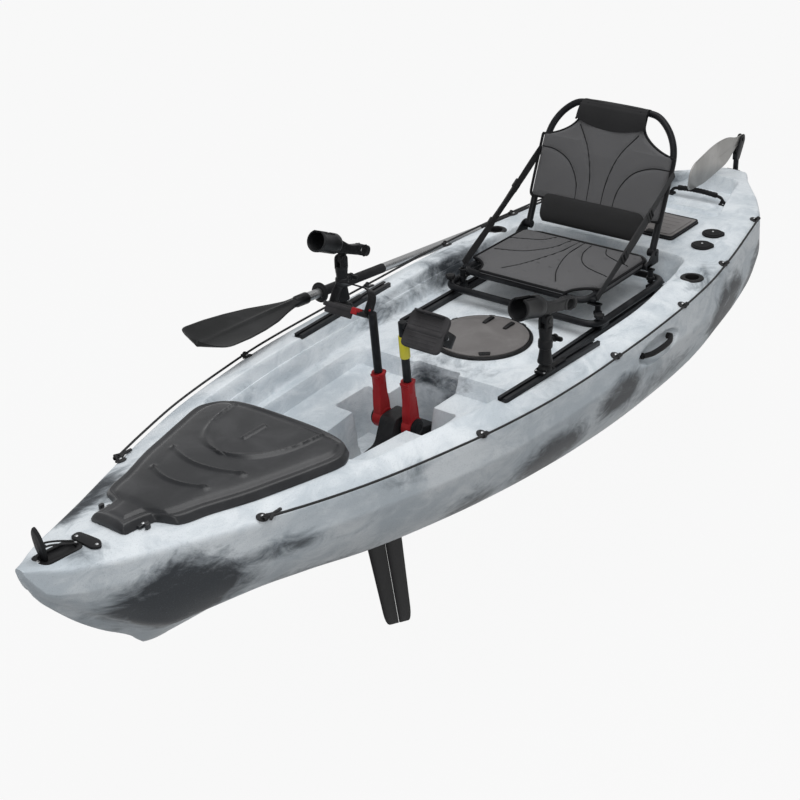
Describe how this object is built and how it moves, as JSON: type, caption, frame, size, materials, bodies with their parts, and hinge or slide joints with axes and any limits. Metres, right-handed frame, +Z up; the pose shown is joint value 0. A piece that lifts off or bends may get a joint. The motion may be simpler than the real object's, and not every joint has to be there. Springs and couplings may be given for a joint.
{
  "type": "pedal kayak",
  "caption": "Sit-on-top kayak with a pedal fin drive, framed mesh seat, hatches, rail rod holders, lifting rudder and a paddle on the gunwale.",
  "frame": {"origin": "on the flat keel strip, half way along the hull", "axes": "+X towards the bow, +Y to port, +Z up"},
  "size_m": [3.1796, 0.9811, 1.2151],
  "materials": {
    "hull_plastic": "rotomoulded polyethylene, marbled pale blue-white and charcoal, fine grain",
    "black_plastic": "moulded black, satin",
    "rubber_black": "matt black rubber",
    "black_metal": "black powder coat on tube",
    "line_black": "braided black line",
    "cover_graphite": "dark graphite, satin sheen",
    "lid_grey": "grey-brown, fine grain",
    "red_plastic": "deep red moulding",
    "yellow_plastic": "yellow sleeve",
    "steel": "brushed stainless",
    "fin_rubber": "black moulded fin",
    "mesh_grey": "grey open mesh with black binding",
    "webbing_black": "black webbing",
    "blade_grey": "silver grey, satin",
    "shaft_silver": "silver shaft with black grips",
    "blade_black": "black moulded blade"
  },
  "bodies": {
    "hull": {"hull": "hull_plastic", "gear_rail_port": "black_plastic", "gear_rail_starboard": "black_plastic", "seat_track_port": "black_metal", "seat_track_starboard": "black_metal", "deck_line_port": "line_black", "deck_line_starboard": "line_black", "centre_hatch_rim": "black_plastic", "rear_hatch_seal": "rubber_black", "flush_rod_holder_port": "black_plastic", "flush_rod_holder_starboard": "black_plastic", "stern_handle": "black_plastic", "side_handle_port": "black_plastic", "side_handle_starboard": "black_plastic", "drive_spine": "black_plastic", "crank_axle": "black_metal", "fin_shaft": "steel", "rudder_bracket": "black_metal"},
    "centre_hatch_lid": {"centre_hatch_lid": "lid_grey"},
    "hatch_latch_port": {"hatch_latch_port": "black_plastic"},
    "hatch_latch_starboard": {"hatch_latch_starboard": "black_plastic"},
    "rear_hatch_lid": {"rear_hatch_lid": "lid_grey"},
    "front_hatch_cover": {"front_hatch_cover": "cover_graphite"},
    "rod_holder_cap_port_fore": {"rod_holder_cap_port_fore": "cover_graphite"},
    "rod_holder_cap_port_aft": {"rod_holder_cap_port_aft": "cover_graphite"},
    "rod_holder_cap_starboard_fore": {"rod_holder_cap_starboard_fore": "cover_graphite"},
    "rod_holder_cap_starboard_aft": {"rod_holder_cap_starboard_aft": "cover_graphite"},
    "drain_plug": {"drain_plug": "black_plastic"},
    "bow_toggle": {"bow_toggle": "rubber_black"},
    "port_crank": {"crank_bracket_port": "red_plastic", "crank_tube_port": "black_metal", "height_sleeve_port": "yellow_plastic"},
    "port_pedal": {"pedal_pad_port": "rubber_black", "pedal_strap_port": "webbing_black"},
    "starboard_crank": {"crank_bracket_starboard": "red_plastic", "crank_tube_starboard": "black_metal"},
    "starboard_pedal": {"pedal_pad_starboard": "rubber_black", "pedal_strap_starboard": "webbing_black"},
    "fin_front": {"fin_front": "fin_rubber"},
    "fin_rear": {"fin_rear": "fin_rubber"},
    "seat": {"seat_lower_frame": "black_metal", "seat_frame": "black_metal", "seat_pad": "mesh_grey", "seat_strap_port": "webbing_black", "seat_strap_starboard": "webbing_black"},
    "seat_back": {"back_frame": "black_metal", "back_pad": "mesh_grey"},
    "seat_knob_port": {"seat_knob_port": "black_plastic"},
    "seat_knob_starboard": {"seat_knob_starboard": "black_plastic"},
    "rod_holder_base_port": {"rod_base_port": "black_plastic"},
    "rod_holder_post_port": {"rod_post_port": "black_plastic"},
    "rod_holder_head_port": {"rod_head_port": "black_plastic"},
    "rod_holder_base_starboard": {"rod_base_starboard": "black_plastic"},
    "rod_holder_post_starboard": {"rod_post_starboard": "black_plastic"},
    "rod_holder_head_starboard": {"rod_head_starboard": "black_plastic"},
    "rudder_yoke": {"rudder_yoke": "black_plastic"},
    "rudder_blade": {"rudder_blade": "blade_grey"},
    "paddle": {"paddle_shaft": "shaft_silver", "paddle_blade_fore": "blade_black", "paddle_blade_aft": "blade_black"}
  },
  "joints": [
    {"name": "centre_hatch_hinge", "type": "hinge", "parent": "hull", "child": "centre_hatch_lid", "pos_m": [0.071, 0, 0.25], "axis": [0, 1, 0], "range_deg": [0, 90]},
    {"name": "hatch_latch_port_flip", "type": "hinge", "parent": "centre_hatch_lid", "child": "hatch_latch_port", "pos_m": [-0.119, 0.034, 0.257], "axis": [0, 1, 0], "range_deg": [0, 80]},
    {"name": "hatch_latch_starboard_flip", "type": "hinge", "parent": "centre_hatch_lid", "child": "hatch_latch_starboard", "pos_m": [-0.119, -0.034, 0.257], "axis": [0, 1, 0], "range_deg": [0, 80]},
    {"name": "rear_hatch_hinge", "type": "hinge", "parent": "hull", "child": "rear_hatch_lid", "pos_m": [-0.986, 0, 0.321], "axis": [0, -1, 0], "range_deg": [0, 100]},
    {"name": "front_hatch_hinge", "type": "hinge", "parent": "hull", "child": "front_hatch_cover", "pos_m": [1.33, 0, 0.345], "axis": [0, 1, 0], "range_deg": [0, 75]},
    {"name": "cap_port_fore_lift", "type": "slide", "parent": "hull", "child": "rod_holder_cap_port_fore", "axis": [0, 0, 1], "range_m": [0, 0.02]},
    {"name": "cap_port_aft_lift", "type": "slide", "parent": "hull", "child": "rod_holder_cap_port_aft", "axis": [0, 0, 1], "range_m": [0, 0.02]},
    {"name": "cap_starboard_fore_lift", "type": "slide", "parent": "hull", "child": "rod_holder_cap_starboard_fore", "axis": [0, 0, 1], "range_m": [0, 0.02]},
    {"name": "cap_starboard_aft_lift", "type": "slide", "parent": "hull", "child": "rod_holder_cap_starboard_aft", "axis": [0, 0, 1], "range_m": [0, 0.02]},
    {"name": "drain_plug_pull", "type": "slide", "parent": "hull", "child": "drain_plug", "axis": [-1, 0, 0], "range_m": [0, 0.036]},
    {"name": "bow_toggle_swing", "type": "hinge", "parent": "hull", "child": "bow_toggle", "pos_m": [1.407, 0, 0.345], "axis": [0, -1, 0], "range_deg": [0, 40]},
    {"name": "port_crank_swing", "type": "hinge", "parent": "hull", "child": "port_crank", "pos_m": [0.328, 0.047, 0.155], "axis": [0, 1, 0], "range_deg": [-32, 32]},
    {"name": "port_pedal_turn", "type": "hinge", "parent": "port_crank", "child": "port_pedal", "pos_m": [0.35397, 0.12, 0.45187], "axis": [0, 1, 0], "range_deg": [-120, 120]},
    {"name": "starboard_crank_swing", "type": "hinge", "parent": "hull", "child": "starboard_crank", "pos_m": [0.328, -0.047, 0.155], "axis": [0, 1, 0], "range_deg": [-32, 32]},
    {"name": "starboard_pedal_turn", "type": "hinge", "parent": "starboard_crank", "child": "starboard_pedal", "pos_m": [0.35397, -0.12, 0.45187], "axis": [0, 1, 0], "range_deg": [-120, 120]},
    {"name": "fin_front_sweep", "type": "hinge", "parent": "hull", "child": "fin_front", "pos_m": [0.4635, 0, -0.004], "axis": [1, 0, 0], "range_deg": [-58, 58]},
    {"name": "fin_rear_sweep", "type": "hinge", "parent": "hull", "child": "fin_rear", "pos_m": [0.384, 0, -0.004], "axis": [1, 0, 0], "range_deg": [-58, 58]},
    {"name": "seat_slide", "type": "slide", "parent": "hull", "child": "seat", "axis": [1, 0, 0], "range_m": [-0.04, 0.1]},
    {"name": "seat_back_fold", "type": "hinge", "parent": "seat", "child": "seat_back", "pos_m": [-0.618, 0, 0.351], "axis": [0, 1, 0], "range_deg": [0, 60], "deforming": ["seat_strap_port", "seat_strap_starboard"]},
    {"name": "seat_knob_port_turn", "type": "hinge", "parent": "seat", "child": "seat_knob_port", "pos_m": [-0.262, 0.25, 0.29], "axis": [0, 0, 1], "range_deg": [-90, 90]},
    {"name": "seat_knob_starboard_turn", "type": "hinge", "parent": "seat", "child": "seat_knob_starboard", "pos_m": [-0.262, -0.25, 0.29], "axis": [0, 0, 1], "range_deg": [-90, 90]},
    {"name": "rod_holder_port_slide", "type": "slide", "parent": "hull", "child": "rod_holder_base_port", "axis": [0.9989, -0.0461, 0], "range_m": [-0.19, 0.15]},
    {"name": "rod_holder_port_swivel", "type": "hinge", "parent": "rod_holder_base_port", "child": "rod_holder_post_port", "pos_m": [0.146, 0.33435, 0.345], "axis": [0, 0, 1], "range_deg": [-90, 90]},
    {"name": "rod_holder_port_tilt", "type": "hinge", "parent": "rod_holder_post_port", "child": "rod_holder_head_port", "pos_m": [0.146, 0.33435, 0.4616], "axis": [0.0461, 0.9989, 0], "range_deg": [-30, 20]},
    {"name": "rod_holder_starboard_slide", "type": "slide", "parent": "hull", "child": "rod_holder_base_starboard", "axis": [0.9989, 0.0461, 0], "range_m": [-0.17, 0.17]},
    {"name": "rod_holder_starboard_swivel", "type": "hinge", "parent": "rod_holder_base_starboard", "child": "rod_holder_post_starboard", "pos_m": [0.125, -0.33532, 0.345], "axis": [0, 0, 1], "range_deg": [-90, 90]},
    {"name": "rod_holder_starboard_tilt", "type": "hinge", "parent": "rod_holder_post_starboard", "child": "rod_holder_head_starboard", "pos_m": [0.125, -0.33532, 0.4616], "axis": [-0.0461, 0.9989, 0], "range_deg": [-30, 20]},
    {"name": "rudder_steer", "type": "hinge", "parent": "hull", "child": "rudder_yoke", "pos_m": [-1.579, 0, 0.26], "axis": [0, 0, 1], "range_deg": [-18, 18]},
    {"name": "rudder_lift", "type": "hinge", "parent": "rudder_yoke", "child": "rudder_blade", "pos_m": [-1.604, 0, 0.381], "axis": [0, -1, 0], "range_deg": [0, 240]},
    {"name": "paddle_lift_off", "type": "slide", "parent": "hull", "child": "paddle", "axis": [0, -0.6, 0.8], "range_m": [0, 0.25]}
  ],
  "couplings": [
    {"joint": "starboard_crank_swing", "follows": "port_crank_swing", "ratio": -1},
    {"joint": "fin_front_sweep", "follows": "port_crank_swing", "ratio": 1.8},
    {"joint": "fin_rear_sweep", "follows": "port_crank_swing", "ratio": -1.8}
  ]
}
